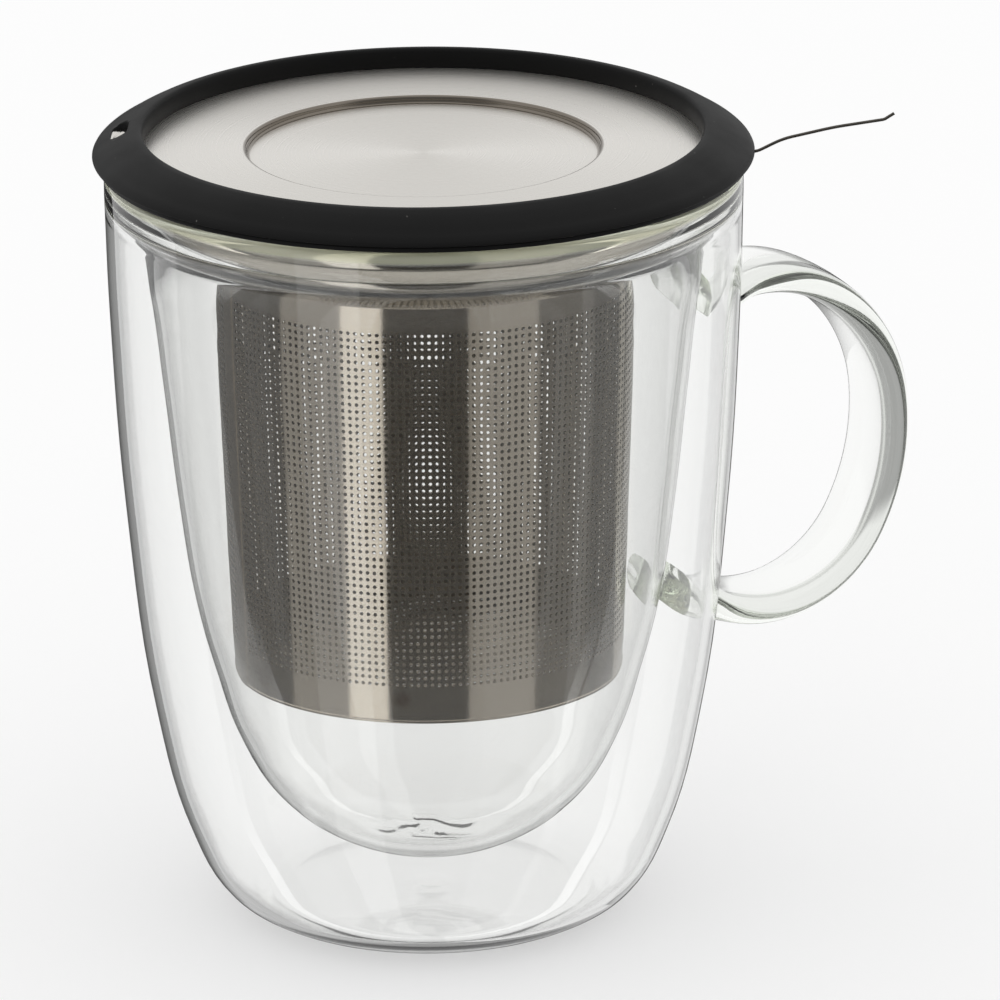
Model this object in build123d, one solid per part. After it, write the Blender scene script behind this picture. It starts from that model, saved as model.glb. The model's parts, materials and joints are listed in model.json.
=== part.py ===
from build123d import *
import os
from math import asin, atan2, cos, degrees, radians, sin

# Double-walled glass tea mug with a lift-out steel infuser and a flat steel lid.
# Millimetres, +Z up. The origin is the centre of the base, on the face the mug stands on,
# and the handle points along +X.

# Outer glass wall, as (radius, height) on its outside
OUTER_PROFILE = [
    (23.6, 0.0), (27.6, 1.5), (31.0, 4.0), (35.3, 12.0), (40.0, 30.0), (43.8, 61.0), (45.6, 92.0), (46.0, 109.0),
]
OUTER_WALL = 1.6
BASE_THICKNESS = 2.0

# Inner glass bowl, as (radius, height) on the side that faces the air gap
INNER_PROFILE = [
    (0.0, 8.2), (5.0, 8.6), (13.5, 11.2), (22.5, 18.0), (28.0, 27.0), (31.4, 37.5), (34.0, 48.0),
    (36.2, 63.0), (38.0, 80.0), (39.7, 95.0), (41.4, 104.5), (42.9, 107.0), (44.4, 109.0),
]
INNER_WALL = 1.5
INNER_THROAT = [(40.0, 104.2), (41.3, 106.2), (42.4, 108.2), (43.0, 110.3)]
FUSE_HEIGHT = 109.0
LIP_SHOULDER = 112.1
LIP_TOP = 113.4
LIP_INSIDE = 43.2

# The walls' inner faces follow the outer ones between these shares of an outline, through so many points
OUTER_FOLLOWED = (0.07, 1.0)
OUTER_POINTS = 9
INNER_FOLLOWED = (0.0, 0.9)
INNER_POINTS = 12

# Sealed vent in the middle of the base
VENT_RADIUS = 3.0
VENT_DOME = 0.9

# Drawn glass handle: a flat strap along tangent arcs, each (radius, angle turned downwards)
HANDLE_START = (43.6, 86.8)
HANDLE_START_SLOPE = 27.8
HANDLE_ARCS = [(19.6, 56.0), (24.5, 54.5), (34.3, 35.5), (19.4, 93.0)]
STRAP_WIDTH = 13.8
STRAP_THICKNESS = 4.9
STRAP_CORNER = 2.2
ROOT_WIDTH = 15.6
ROOT_THICKNESS = 6.3
ROOT_LENGTH = 5.0
ROOT_GAP = 0.02

# Steel infuser
STEEL = 0.4
RIM_GAP = 0.1
COLLAR_RADIUS = 42.5
COLLAR_TOP = 112.0
COLLAR_BOTTOM = 101.4
FLANGE_RADIUS = 46.1
BASKET_TOP_RADIUS = 30.7
BASKET_FOOT_RADIUS = 28.8
BASKET_FOOT = 38.1
BASKET_SHEET = 0.3
FLOOR_RIM_TOP = 43.2
WELD_COUNT = 4
WELD_RADIUS = 0.65
WELD_HEIGHT = 41.7
WELD_PROUD = 0.08
WELD_DEPTH = 0.6
FRONT_WELD_ANGLE = -123.0

# Soft ring round the infuser's flange
GASKET_INSIDE = 43.4
GASKET_OUTSIDE = 46.9
GASKET_TOP = 114.5
GASKET_SKIRT = 113.7

# Lift wire, as (radius, height) along its middle
WIRE_DIAMETER = 0.45
WIRE_ANGLE = -26.0
WIRE_ROUTE = [(43.8, 114.13), (47.9, 114.13), (51.6, 116.0), (59.0, 117.7), (66.2, 118.8), (67.6, 119.7)]
WIRE_BENDS = [3.2, 12.0, 40.0, 1.2]
WIRE_CLEARANCE = 0.1

# Lid plate
PLATE_TOP = 115.5
PLATE_SHEET = 0.5
PLATE_RADIUS = 45.4
RECESS_RADIUS = 25.7
RECESS_DEPTH = 1.1
RECESS_SLANT = 0.35

# Soft lid ring: a dome in section, moulded round the edge of the plate, with a skirt in the collar
LID_SEAT = 114.6
CREST_RADIUS = 40.3
CREST_TOP = 118.5
DOME_MIDDLE = (44.2, 117.35)
DOME_EDGE = (47.2, 115.7)
DOME_EDGE_ROUND = 0.95
LID_RADIUS = 47.6
SKIRT_OUTSIDE = 41.7
SKIRT_FOOT = 113.5
SKIRT_TAPER = 0.3
FOOT_SET_BACK = 0.1
WINDOW_ANGLE = 145.0
WINDOW_RADIUS = 43.7
WINDOW_LENGTH = 6.4
WINDOW_WIDTH = 2.0
DRAIN_ANGLE = 146.8
DRAIN_RADIUS = 0.7

# Radius of the points that lie on the mug's axis
AXIS = 0.0


def turned(outline):
    """Spin a closed outline, drawn as radius and height, about the mug's axis."""
    return revolve(Plane.XZ * make_face(outline), Axis.Z)


def inset_points(curve, wall, followed, count):
    """Points that lie one wall thickness to the left of a curve drawn from the base upwards."""
    first, last = followed
    points = []
    for step in range(count):
        along = first + (last - first) * step / (count - 1)
        tangent = curve % along
        place = curve @ along
        points.append((place.X - tangent.Y * wall, place.Y + tangent.X * wall))
    return points


def at_angle(radius, angle):
    """A point on a circle about the mug's axis, the angle in degrees from the handle."""
    return radius * cos(radians(angle)), radius * sin(radians(angle))


def make_outer_glass():
    """Blown outer wall with a flat base and a vent hole in its middle."""
    outside = Spline(*OUTER_PROFILE)
    floor_edge = OUTER_PROFILE[0][0]
    inside_points = [(floor_edge, BASE_THICKNESS)]
    inside_points += inset_points(outside, OUTER_WALL, OUTER_FOLLOWED, OUTER_POINTS)
    inside_points[-1] = (OUTER_PROFILE[-1][0] - OUTER_WALL, FUSE_HEIGHT)
    inside = Spline(*inside_points)
    edges = [
        Line((VENT_RADIUS, 0.0), OUTER_PROFILE[0]),
        outside,
        Line(OUTER_PROFILE[-1], inside_points[-1]),
        inside,
        Line((floor_edge, BASE_THICKNESS), (VENT_RADIUS, BASE_THICKNESS)),
        Line((VENT_RADIUS, BASE_THICKNESS), (VENT_RADIUS, 0.0)),
    ]
    return turned(edges)


def make_inner_glass():
    """Blown inner bowl; its mouth flares out and is fused on the outer wall's edge as a round lip."""
    outside = Spline(*INNER_PROFILE)
    lip_outside = OUTER_PROFILE[-1][0]
    inside_points = inset_points(outside, INNER_WALL, INNER_FOLLOWED, INNER_POINTS)
    inside_points[0] = (AXIS, INNER_PROFILE[0][1] + INNER_WALL)
    inside_points += INNER_THROAT + [(LIP_INSIDE, LIP_SHOULDER)]
    inside = Spline(*inside_points)
    lip_middle = ((lip_outside + LIP_INSIDE) / 2, LIP_TOP)
    edges = [
        outside,
        Line(INNER_PROFILE[-1], (lip_outside, FUSE_HEIGHT)),
        Line((lip_outside, FUSE_HEIGHT), (lip_outside, LIP_SHOULDER)),
        ThreePointArc((lip_outside, LIP_SHOULDER), lip_middle, (LIP_INSIDE, LIP_SHOULDER)),
        inside,
        Line(inside_points[0], INNER_PROFILE[0]),
    ]
    return turned(edges)


def make_vent_seal():
    """Bead of glass that closes the vent, flush with the base and domed on the inside."""
    dome_radius = (VENT_RADIUS**2 + VENT_DOME**2) / (2 * VENT_DOME)
    dome_angle = degrees(asin(VENT_RADIUS / dome_radius))
    dome = JernArc((AXIS, BASE_THICKNESS + VENT_DOME), (1, 0), dome_radius, -dome_angle)
    edges = [
        Line((AXIS, 0.0), (VENT_RADIUS, 0.0)),
        Line((VENT_RADIUS, 0.0), dome @ 1),
        dome,
        Line(dome @ 0, (AXIS, 0.0)),
    ]
    return turned(edges)


def handle_path():
    """The handle's middle line: tangent arcs that turn downwards, from the upper root to the lower."""
    point = Vector(*HANDLE_START)
    heading = Vector(cos(radians(HANDLE_START_SLOPE)), sin(radians(HANDLE_START_SLOPE)))
    arcs = []
    for radius, angle in HANDLE_ARCS:
        arc = JernArc(point, heading, radius, -angle)
        arcs.append(arc)
        point = arc @ 1
        heading = arc % 1
    return Plane.XZ * Wire(arcs)


def strap_section(path, along, width, thickness):
    """The strap's cross-section, square to its middle line, with its width along Y."""
    place = Plane(origin=path @ along, x_dir=(0, 1, 0), z_dir=path % along)
    corner = STRAP_CORNER * thickness / STRAP_THICKNESS
    return place * RectangleRounded(width, thickness, corner)


def make_glass_handle():
    """Drawn strap handle, thicker at both roots, cut to the curve of the wall it is fused to."""
    path = handle_path()
    strap = sweep(strap_section(path, 0.0, STRAP_WIDTH, STRAP_THICKNESS), path=path)
    reach = ROOT_LENGTH / path.length
    for end, towards in ((0.0, reach), (1.0, 1.0 - reach)):
        thick = strap_section(path, end, ROOT_WIDTH, ROOT_THICKNESS)
        thin = strap_section(path, towards, STRAP_WIDTH, STRAP_THICKNESS)
        strap += loft([thick, thin])
    wall = [(radius + ROOT_GAP, height) for radius, height in OUTER_PROFILE]
    envelope = turned([
        Line((AXIS, 0.0), wall[0]),
        Spline(*wall),
        Line(wall[-1], (AXIS, FUSE_HEIGHT)),
        Line((AXIS, FUSE_HEIGHT), (AXIS, 0.0)),
    ])
    return strap - envelope


def flange_underside():
    return LIP_TOP + RIM_GAP


def make_basket_collar():
    """Spun steel collar: a convex bowl that fills the mouth, with a flat flange over the glass lip."""
    centre = (BASKET_TOP_RADIUS, COLLAR_TOP)
    across = COLLAR_RADIUS - BASKET_TOP_RADIUS
    down = COLLAR_TOP - COLLAR_BOTTOM
    outside = EllipticalCenterArc(centre, across, down, start_angle=-90, arc_size=90)
    inside = EllipticalCenterArc(centre, across - STEEL, down - STEEL, start_angle=-90, arc_size=90)
    under = flange_underside()
    inside_radius = COLLAR_RADIUS - STEEL
    bore = BASKET_TOP_RADIUS - BASKET_SHEET
    edges = [
        outside,
        Line((COLLAR_RADIUS, COLLAR_TOP), (COLLAR_RADIUS, under)),
        Line((COLLAR_RADIUS, under), (FLANGE_RADIUS, under)),
        Line((FLANGE_RADIUS, under), (FLANGE_RADIUS, under + STEEL)),
        Line((FLANGE_RADIUS, under + STEEL), (inside_radius, under + STEEL)),
        Line((inside_radius, under + STEEL), (inside_radius, COLLAR_TOP)),
        inside,
        Line((BASKET_TOP_RADIUS, COLLAR_BOTTOM + STEEL), (bore, COLLAR_BOTTOM + STEEL)),
        Line((bore, COLLAR_BOTTOM + STEEL), (bore, COLLAR_BOTTOM)),
        Line((bore, COLLAR_BOTTOM), (BASKET_TOP_RADIUS, COLLAR_BOTTOM)),
    ]
    return turned(edges)


def basket_radius(height):
    """Outside radius of the basket wall, which narrows evenly towards its foot."""
    share = (height - BASKET_FOOT) / (COLLAR_BOTTOM - BASKET_FOOT)
    return BASKET_FOOT_RADIUS + share * (BASKET_TOP_RADIUS - BASKET_FOOT_RADIUS)


def ring_between(low, high, outside_gap, sheet):
    """A thin cone ring under the basket wall's outside, between two heights."""
    outline = Polyline(
        (basket_radius(low) - outside_gap, low),
        (basket_radius(high) - outside_gap, high),
        (basket_radius(high) - outside_gap - sheet, high),
        (basket_radius(low) - outside_gap - sheet, low),
        close=True,
    )
    return turned(outline)


def make_basket_wall():
    """Rolled and seam-welded wall of the basket; its holes are finer than this model holds."""
    return ring_between(BASKET_FOOT, COLLAR_BOTTOM, 0.0, BASKET_SHEET)


def make_basket_floor():
    """Pressed floor with an upturned rim that sits inside the foot of the wall."""
    rim = ring_between(BASKET_FOOT, FLOOR_RIM_TOP, BASKET_SHEET, BASKET_SHEET)
    radius = basket_radius(BASKET_FOOT) - BASKET_SHEET - BASKET_SHEET / 2
    disc = Pos(0, 0, BASKET_FOOT + BASKET_SHEET / 2) * Cylinder(radius, BASKET_SHEET)
    return rim + disc


def make_spot_welds():
    """Small round welds that hold the floor's rim in the wall."""
    reach = 2 * WELD_RADIUS
    within = ring_between(WELD_HEIGHT - reach, WELD_HEIGHT + reach, 0.0, basket_radius(WELD_HEIGHT) / 2)
    proud = basket_radius(WELD_HEIGHT) + WELD_PROUD
    start = proud - WELD_DEPTH
    welds = []
    for index in range(WELD_COUNT):
        angle = FRONT_WELD_ANGLE + index * 360.0 / WELD_COUNT
        place = Plane(origin=(*at_angle(start, angle), WELD_HEIGHT), z_dir=(*at_angle(1.0, angle), 0))
        button = place * Cylinder(WELD_RADIUS, WELD_DEPTH, align=(Align.CENTER, Align.CENTER, Align.MIN))
        welds.append((button - within).solid())
    return Compound(welds)


def wire_path():
    return Rot(0, 0, WIRE_ANGLE) * (Plane.XZ * FilletPolyline(*WIRE_ROUTE, radius=WIRE_BENDS))


def wire_along(path, diameter):
    section = Plane(origin=path @ 0, z_dir=path % 0) * Circle(diameter / 2)
    return sweep(section, path=path)


def make_lift_wire():
    """Spring wire that lies on the flange and rises outwards past the rings, to lift the infuser by."""
    return wire_along(wire_path(), WIRE_DIAMETER)


def make_infuser_ring():
    """Soft ring on top of the flange, with a lip down over its edge and a groove for the wire."""
    seat = flange_underside() + STEEL
    outline = Polyline(
        (GASKET_INSIDE, seat),
        (GASKET_INSIDE, GASKET_TOP),
        (GASKET_OUTSIDE, GASKET_TOP),
        (GASKET_OUTSIDE, GASKET_SKIRT),
        (FLANGE_RADIUS, GASKET_SKIRT),
        (FLANGE_RADIUS, seat),
        close=True,
    )
    groove = wire_along(wire_path(), WIRE_DIAMETER + 2 * WIRE_CLEARANCE)
    return turned(outline) - groove


def make_lid_plate():
    """Pressed steel disc with a round recess, and a small drain hole at its hidden edge."""
    low = PLATE_TOP - PLATE_SHEET
    outline = Polyline(
        (AXIS, PLATE_TOP - RECESS_DEPTH),
        (RECESS_RADIUS - RECESS_SLANT, PLATE_TOP - RECESS_DEPTH),
        (RECESS_RADIUS, PLATE_TOP),
        (PLATE_RADIUS, PLATE_TOP),
        (PLATE_RADIUS, low),
        (RECESS_RADIUS + PLATE_SHEET, low),
        (RECESS_RADIUS + PLATE_SHEET - RECESS_SLANT, low - RECESS_DEPTH),
        (AXIS, low - RECESS_DEPTH),
        close=True,
    )
    drain = Pos(*at_angle(WINDOW_RADIUS, DRAIN_ANGLE), PLATE_TOP) * Cylinder(DRAIN_RADIUS, 4 * PLATE_SHEET)
    return turned(outline) - drain


def make_lid_ring():
    """Soft ring moulded round the plate's edge: a domed top, a skirt below, and one small window."""
    low = PLATE_TOP - PLATE_SHEET
    dome = ThreePointArc((CREST_RADIUS, CREST_TOP), DOME_MIDDLE, DOME_EDGE)
    turn = 90 + degrees(atan2((dome % 1).Y, (dome % 1).X))
    edge = JernArc(DOME_EDGE, dome % 1, DOME_EDGE_ROUND, -turn)
    foot = (LID_RADIUS - FOOT_SET_BACK, LID_SEAT)
    edges = [
        dome,
        edge,
        Line(edge @ 1, foot),
        Line(foot, (SKIRT_OUTSIDE, LID_SEAT)),
        Line((SKIRT_OUTSIDE, LID_SEAT), (SKIRT_OUTSIDE - SKIRT_TAPER, SKIRT_FOOT)),
        Line((SKIRT_OUTSIDE - SKIRT_TAPER, SKIRT_FOOT), (CREST_RADIUS, SKIRT_FOOT)),
        Line((CREST_RADIUS, SKIRT_FOOT), (CREST_RADIUS, low)),
        Line((CREST_RADIUS, low), (PLATE_RADIUS, low)),
        Line((PLATE_RADIUS, low), (PLATE_RADIUS, PLATE_TOP)),
        Line((PLATE_RADIUS, PLATE_TOP), (CREST_RADIUS, PLATE_TOP)),
        Line((CREST_RADIUS, PLATE_TOP), (CREST_RADIUS, CREST_TOP)),
    ]
    slot = SlotOverall(WINDOW_LENGTH, WINDOW_WIDTH, rotation=WINDOW_ANGLE + 90)
    window = Pos(*at_angle(WINDOW_RADIUS, WINDOW_ANGLE), PLATE_TOP) * extrude(slot, CREST_TOP - PLATE_TOP)
    return turned(edges) - window


pieces = {
    "outer_glass": make_outer_glass(),
    "inner_glass": make_inner_glass(),
    "vent_seal": make_vent_seal(),
    "glass_handle": make_glass_handle(),
    "basket_collar": make_basket_collar(),
    "basket_wall": make_basket_wall(),
    "basket_floor": make_basket_floor(),
    "spot_welds": make_spot_welds(),
    "infuser_ring": make_infuser_ring(),
    "lift_wire": make_lift_wire(),
    "lid_plate": make_lid_plate(),
    "lid_ring": make_lid_ring(),
}

os.makedirs("parts", exist_ok=True)
for name, piece in pieces.items():
    export_step(piece, f"parts/{name}.step")
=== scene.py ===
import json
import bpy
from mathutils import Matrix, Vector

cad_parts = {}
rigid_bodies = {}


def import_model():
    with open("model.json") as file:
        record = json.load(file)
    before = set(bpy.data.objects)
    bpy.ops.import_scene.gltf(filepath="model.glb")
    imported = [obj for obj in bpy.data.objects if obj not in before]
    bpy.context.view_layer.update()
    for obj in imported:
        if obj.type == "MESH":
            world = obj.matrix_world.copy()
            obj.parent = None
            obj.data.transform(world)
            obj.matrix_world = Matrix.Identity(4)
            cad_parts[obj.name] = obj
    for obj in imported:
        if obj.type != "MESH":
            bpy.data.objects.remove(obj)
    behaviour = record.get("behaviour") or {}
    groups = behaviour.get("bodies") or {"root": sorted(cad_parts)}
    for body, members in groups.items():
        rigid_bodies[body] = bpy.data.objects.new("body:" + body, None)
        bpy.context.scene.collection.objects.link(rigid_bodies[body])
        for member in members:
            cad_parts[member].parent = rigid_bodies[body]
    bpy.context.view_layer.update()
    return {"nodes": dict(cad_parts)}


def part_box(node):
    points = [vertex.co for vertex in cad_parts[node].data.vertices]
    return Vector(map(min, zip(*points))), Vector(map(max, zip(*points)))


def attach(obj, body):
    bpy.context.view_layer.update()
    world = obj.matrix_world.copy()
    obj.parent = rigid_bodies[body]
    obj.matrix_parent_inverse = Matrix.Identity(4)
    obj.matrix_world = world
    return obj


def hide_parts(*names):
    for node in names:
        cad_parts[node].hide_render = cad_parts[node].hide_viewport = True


bl_info = {
    "name": "Glass Tea Mug with Infuser",
    "version": (1, 0, 0),
    "blender": (4, 5, 0),
    "location": "View3D > Sidebar > Tea Mug",
    "description": "Builds the glass, steel and silicone of a double-walled tea mug round its packed model",
    "category": "Object",
}

from functools import cache
from math import asin, atan2, ceil, cos, degrees, pi, radians, sin, tau

import bmesh
import bpy
from bpy.props import FloatProperty, FloatVectorProperty, IntProperty, PointerProperty
from mathutils import Matrix, Vector

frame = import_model()
MM = 0.001
UP = Vector((0.0, 0.0, 1.0))

# Outlines in millimetres, as (radius, height) about the mug's axis. They repeat the frame's own outlines.
OUTER_WALL_LINE = [
    (23.6, 0.0), (27.6, 1.5), (31.0, 4.0), (35.3, 12.0), (40.0, 30.0), (43.8, 61.0), (45.6, 92.0),
    (46.0, 109.0),
]
INNER_BOWL_LINE = [
    (0.0, 8.2), (5.0, 8.6), (13.5, 11.2), (22.5, 18.0), (28.0, 27.0), (31.4, 37.5), (34.0, 48.0),
    (36.2, 63.0), (38.0, 80.0), (39.7, 95.0), (41.4, 104.5), (42.9, 107.0),
]
BOWL_THROAT_LINE = [(40.0, 104.2), (41.3, 106.2), (42.4, 108.2), (43.0, 110.3), (43.2, 112.1)]
GAP_TOP_LINE = [(44.35, 107.4), (44.2, 108.3), (43.85, 108.6), (43.4, 108.0)]

# The handle's middle line: where it starts, its slope there, and arcs as (radius, angle turned downwards)
HANDLE_START = (43.6, 86.8)
HANDLE_START_SLOPE = 27.8
HANDLE_ARCS = [(19.6, 56.0), (24.5, 54.5), (34.3, 35.5), (19.4, 93.0)]

# Irregular marks left where the bowl was closed at the burner, each as points on the bowl's foot
CLOSING_MARKS = [
    [(-7.2, -1.2), (-5.6, 0.6), (-4.0, 1.8), (-2.4, 2.4)],
    [(-2.0, 4.6), (0.6, 4.4), (3.2, 2.2), (5.8, 1.0)],
    [(-2.6, 0.2), (-2.2, -1.2), (0.2, -1.6)],
    [(1.2, -2.2), (3.2, -2.4), (4.8, -3.6), (3.6, -4.8)],
]

# The lid ring's one window and its drain hole, in degrees from the handle and millimetres
WINDOW_ANGLE = 152.0
WINDOW_RADIUS = 43.7
WINDOW_LENGTH = 6.4
WINDOW_WIDTH = 2.5
DRAIN_ANGLE = WINDOW_ANGLE + 1.7
DRAIN_RADIUS = 0.85

# The first of the four spot welds, in degrees from the handle
FIRST_WELD_ANGLE = -123.0

# Faces round the axis of small turned pieces, of plain ones, and of those that show their edges
FEW_FACES = 144
SOME_FACES = 176
MANY_FACES = 192

# The photograph's view of the mug
CAMERA_PLACE = (-0.4682, -0.9842, 0.4367)
CAMERA_TURN = -26.0
CAMERA_TILT = 19.0
CAMERA_ROLL = 0.42
CAMERA_LENS = 284.4

# Cards round the mug as (middle, width, brightness), the first two in degrees to the right of the camera.
# The basket behind the glass mirrors the first lot, and rays inside the glass walls find the second. All else
# mirrors the first and the third, and low down the thin streaks of the fourth.
STEEL_CARDS = [
    (-35.2, 23.5, 1.25), (-66.0, 38.0, 0.36), (43.5, 41.0, 0.44), (84.0, 40.0, 0.14), (128.0, 30.0, 0.07),
    (153.0, 34.0, 0.42),
]
WALL_CARDS = [(-114.0, 108.0, 0.4), (111.0, 102.0, 0.75), (-180.0, 30.0, 0.26), (180.0, 30.0, 0.26)]
BACK_CARDS = [(134.0, 68.0, 0.97), (-126.0, 50.0, 0.97)]
STREAK_CARDS = [(-100.0, 8.0, 2.2), (94.0, 8.0, 2.4)]
CARD_EDGE = 0.8

# Brightness of the room between the cards, of light that the steel passes on, of the low parts of the studio
# that show under the bowl and behind the mug, and of the dome above, also where the camera stands
ROOM_LEVEL = 0.06
SCATTERED_LEVEL = 0.5
UNDER_BOWL_LEVEL = 0.8
TABLE_LEVEL = 0.85
DOME_LEVEL = 0.88
CAMERA_SIDE_LEVEL = 0.32

# Where those parts fade, in degrees above level, or in degrees to either side of the camera
LOW_FADE = (-46.0, -30.0)
TABLE_FADE = (-36.0, -27.0)
TABLE_SIDES = (112.0, 124.0)
DOME_FOOT = (-1.0, 7.0)
DOME_TOP = (32.0, 55.0)
CAMERA_SIDES = (38.0, 62.0)

# Where the frame's nodes reach, read once because each reading takes a while
BOXES = {
    name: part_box(name)
    for name in (
        "basket_collar", "basket_wall", "basket_floor", "spot_welds", "infuser_ring", "lid_plate", "lid_ring",
    )
}


def box_radius(node):
    """How far a round node reaches from the mug's axis."""
    return BOXES[node][1].y


def box_low(node):
    return BOXES[node][0].z


def box_high(node):
    return BOXES[node][1].z


def colour(hex_value):
    """An sRGB hex colour as linear red, green, blue and alpha."""
    shares = [int(hex_value[at:at + 2], 16) / 255 for at in (1, 3, 5)]
    return tuple(s / 12.92 if s <= 0.04045 else ((s + 0.055) / 1.055) ** 2.4 for s in shares) + (1.0,)


WHITE = colour("#FFFFFF")


def times(shade, share):
    """A colour made darker or lighter."""
    return (*(share * part for part in shade[:3]), 1.0)


def shade_property(name, description, hex_value):
    return FloatVectorProperty(
        name=name, description=description, subtype="COLOR", size=4, min=0.0, max=1.0,
        default=colour(hex_value),
    )


def length_property(name, description, millimetres):
    return FloatProperty(
        name=name, description=description, unit="LENGTH", subtype="DISTANCE", precision=5,
        min=0.0, default=millimetres * MM,
    )


class GlassSettings(bpy.types.PropertyGroup):
    outer_wall: length_property("Outer wall", "Thickness of the blown outer wall", 1.6)
    inner_wall: length_property("Inner wall", "Thickness of the blown inner bowl", 1.5)
    base: length_property("Base", "Thickness of the flat base", 2.0)
    seal_dome: length_property("Seal dome", "Height of the melted-down glass bead that closes the vent", 0.16)
    seal_radius: length_property("Seal radius", "Radius of that bead", 3.0)
    mark_height: length_property("Closing marks", "Height of the marks at the foot of the bowl", 0.24)
    mark_width: length_property("Mark width", "Half width of those marks", 0.55)
    strap_width: length_property("Strap width", "Width of the drawn handle strap", 13.8)
    strap_thickness: length_property("Strap thickness", "Thickness of the handle strap", 4.9)
    strap_corner: length_property("Strap corner", "Radius of the strap's long edges", 2.2)
    root_reach: length_property("Root reach", "How far along the strap its fused root swells", 6.0)
    root_swell: FloatProperty(
        name="Root swell", description="How much larger the strap is where it is fused on",
        default=1.24, min=1.0,
    )
    steps: IntProperty(name="Steps", description="Faces round the mug", default=176, min=32)
    # The rim colour is painted light: a cream band for light mirrored inside the thick fused lip.
    rim_shade: shade_property("Rim", "Colour of the hazy, thick fused rim", "#E6E8CE")
    tint: shade_property("Tint", "Colour that thick glass takes", "#F0F6E8")
    tint_density: FloatProperty(
        name="Tint density", description="How fast thick glass takes its tint", default=22.0,
    )


class InfuserSettings(bpy.types.PropertyGroup):
    sheet: length_property("Sheet", "Thickness of the perforated sheet", 0.16)
    collar_sheet: length_property("Collar sheet", "Thickness of the spun collar", 0.4)
    row_pitch: length_property("Row pitch", "Height from one row of holes to the next", 1.055)
    hole: length_property("Hole", "Diameter of the wall's holes", 0.61)
    rows: IntProperty(name="Rows", description="Rows of holes in the wall", default=51, min=1)
    columns: IntProperty(name="Columns", description="Columns that the wall's grid has", default=184, min=8)
    seam_columns: IntProperty(
        name="Seam columns", description="Columns left plain at the seam", default=4, min=0,
    )
    seam_angle: FloatProperty(
        name="Seam angle", description="Where the seam is, from the handle", subtype="ANGLE",
        default=radians(178.0),
    )
    floor_pitch: length_property("Floor pitch", "Distance from one hole of the floor to the next", 1.05)
    floor_margin: length_property("Floor margin", "Plain margin round the floor's holes", 3.6)
    steel: shade_property("Sheet steel", "Colour of the perforated sheet", "#CBC2B4")
    collar_steel: shade_property("Collar steel", "Colour of the spun collar", "#C9C4BA")
    weld_tint: shade_property("Weld tint", "Heat colour round the spot welds", "#8E6E46")
    wire: shade_property("Wire", "Colour of the lift wire", "#6A6660")


class LidSettings(bpy.types.PropertyGroup):
    plate: length_property("Plate", "Thickness of the lid plate", 0.5)
    recess_radius: length_property("Recess", "Radius of the pressed recess", 25.7)
    recess_depth: length_property("Recess depth", "Depth of the pressed recess", 1.1)
    crest_radius: length_property("Crest", "Radius of the ring's crest at its inner edge", 40.3)
    plate_steel: shade_property("Plate steel", "Colour of the brushed plate", "#E4E1DB")
    # The recess wall's colour is painted shade: darker than the plate, for the dark that the wall mirrors.
    drawn_steel: shade_property("Drawn steel", "Colour of the recess's drawn wall", "#807970")
    silicone: shade_property("Silicone", "Colour of the rings", "#0D0D0D")
    dust: shade_property("Dust", "Colour of the dust on the rings", "#8E8C88")


class StageSettings(bpy.types.PropertyGroup):
    floor_radius: length_property("Floor", "Radius of the pale floor", 6000.0)
    floor_shade: shade_property("Floor shade", "Colour of the floor", "#F7F7F7")


def glass_settings():
    return bpy.context.scene.tea_mug_glass


def infuser_settings():
    return bpy.context.scene.tea_mug_infuser


def lid_settings():
    return bpy.context.scene.tea_mug_lid


def stage_settings():
    return bpy.context.scene.tea_mug_stage


def add_node(tree, kind, inputs=None, **settings):
    """Add a node, set it, and fill its inputs, by name or number, with values or other nodes' outputs."""
    made = tree.nodes.new(kind)
    for name, value in settings.items():
        setattr(made, name, value)
    for name, value in (inputs or {}).items():
        if isinstance(value, bpy.types.NodeSocket):
            tree.links.new(value, made.inputs[name])
        else:
            made.inputs[name].default_value = value
    return made


def new_material(name):
    """An empty node material, with its tree, Principled shader and output."""
    material = bpy.data.materials.new(name)
    material.use_nodes = True
    tree = material.node_tree
    tree.nodes.clear()
    shader = add_node(tree, "ShaderNodeBsdfPrincipled")
    output = add_node(tree, "ShaderNodeOutputMaterial", {"Surface": shader.outputs[0]})
    return material, tree, shader, output


def object_axes(tree):
    """Object coordinates and their three separate parts."""
    place = add_node(tree, "ShaderNodeTexCoord").outputs["Object"]
    parts = add_node(tree, "ShaderNodeSeparateXYZ", {0: place})
    return place, parts.outputs


def radius_of(tree, x, y):
    """Distance from the mug's axis."""
    flat = add_node(tree, "ShaderNodeCombineXYZ", {0: x, 1: y}).outputs[0]
    return add_node(tree, "ShaderNodeVectorMath", {0: flat}, operation="LENGTH").outputs["Value"]


def extreme(tree, operation, first, *others):
    """The lowest (MINIMUM) or highest (MAXIMUM) of several values."""
    for other in others:
        first = add_node(tree, "ShaderNodeMath", {0: first, 1: other}, operation=operation).outputs[0]
    return first


def darkened(tree, pattern, shade, lowest):
    """A shade that a pattern darkens, down to a share of itself where the pattern is 0."""
    dark = times(shade, lowest)
    return add_node(tree, "ShaderNodeMix", {0: pattern, 6: dark, 7: shade}, data_type="RGBA").outputs[2]


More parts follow.
